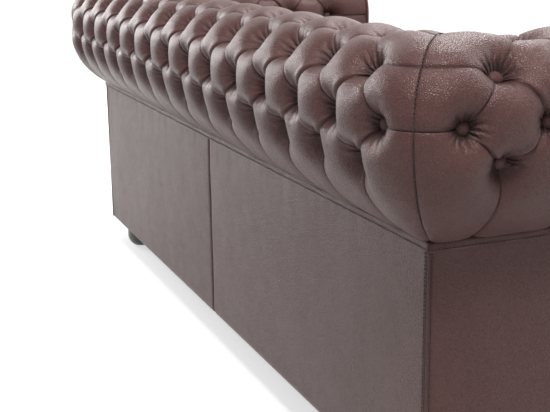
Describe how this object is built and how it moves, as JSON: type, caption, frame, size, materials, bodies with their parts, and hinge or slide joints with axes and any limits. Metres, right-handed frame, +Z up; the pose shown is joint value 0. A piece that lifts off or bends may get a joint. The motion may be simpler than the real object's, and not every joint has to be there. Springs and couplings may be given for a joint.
{
  "type": "chesterfield sofa",
  "caption": "Deep-buttoned leather sofa whose rolled arms and back are of one height, with loose seat cushions and turned bun feet.",
  "frame": {"origin": "on the floor, under the middle of the sofa's outline", "axes": "+X along the sofa's length towards its right side in the row's front view, -Y towards the front, +Z up"},
  "size_m": [1.99, 0.8598, 0.738],
  "materials": {
    "cover_leather": "satin",
    "button_leather": "satin",
    "piping_leather": "satin",
    "frame_wood": "matte",
    "foot_wood": "satin",
    "foam": "matte",
    "webbing": "matte",
    "lining_cloth": "matte",
    "zip": "matte",
    "bolt_steel": "satin",
    "glide": "matte"
  },
  "bodies": {
    "sofa": {"arm_facing_left": "cover_leather", "arm_facing_right": "cover_leather", "arm_foam_left": "foam", "arm_foam_right": "foam", "arm_front_board_left": "frame_wood", "arm_front_board_right": "frame_wood", "arm_panel_left": "cover_leather", "arm_panel_right": "cover_leather", "arm_posts_left": "frame_wood", "arm_posts_right": "frame_wood", "arm_tacking_rails": "frame_wood", "arm_top_board_left": "frame_wood", "arm_top_board_right": "frame_wood", "arm_webbing": "webbing", "back_buttons": "button_leather", "back_foam": "foam", "back_panel_left": "cover_leather", "back_panel_right": "cover_leather", "back_posts": "frame_wood", "back_tacking_rail": "frame_wood", "back_top_board": "frame_wood", "back_tufted_cover": "cover_leather", "back_webbing": "webbing", "base_back_rail": "frame_wood", "base_front_rail": "frame_wood", "corner_blocks": "frame_wood", "deck_cloth": "lining_cloth", "deck_foam": "foam", "dust_cover": "lining_cloth", "facing_piping": "piping_leather", "floor_glides": "glide", "foot_front_left": "foot_wood", "foot_front_right": "foot_wood", "foot_rear_left": "foot_wood", "foot_rear_right": "foot_wood", "front_border": "cover_leather", "hanger_bolts": "bolt_steel", "left_arm_buttons": "button_leather", "left_arm_tufted_cover": "cover_leather", "right_arm_buttons": "button_leather", "right_arm_tufted_cover": "cover_leather", "roll_band": "cover_leather", "seat_cross_member": "frame_wood", "seat_webbing": "webbing", "side_rail_left": "frame_wood", "side_rail_right": "frame_wood"},
    "cushion_left": {"cushion_core_left": "foam", "cushion_cover_left": "cover_leather", "cushion_zip_left": "zip"},
    "cushion_middle": {"cushion_core_middle": "foam", "cushion_cover_middle": "cover_leather", "cushion_zip_middle": "zip"},
    "cushion_right": {"cushion_core_right": "foam", "cushion_cover_right": "cover_leather", "cushion_zip_right": "zip"}
  },
  "joints": [
    {"name": "cushion_left_lift", "type": "slide", "parent": "sofa", "child": "cushion_left", "axis": [0, 0, 1], "range_m": [0, 0.35]},
    {"name": "cushion_middle_lift", "type": "slide", "parent": "sofa", "child": "cushion_middle", "axis": [0, 0, 1], "range_m": [0, 0.35]},
    {"name": "cushion_right_lift", "type": "slide", "parent": "sofa", "child": "cushion_right", "axis": [0, 0, 1], "range_m": [0, 0.35]}
  ]
}
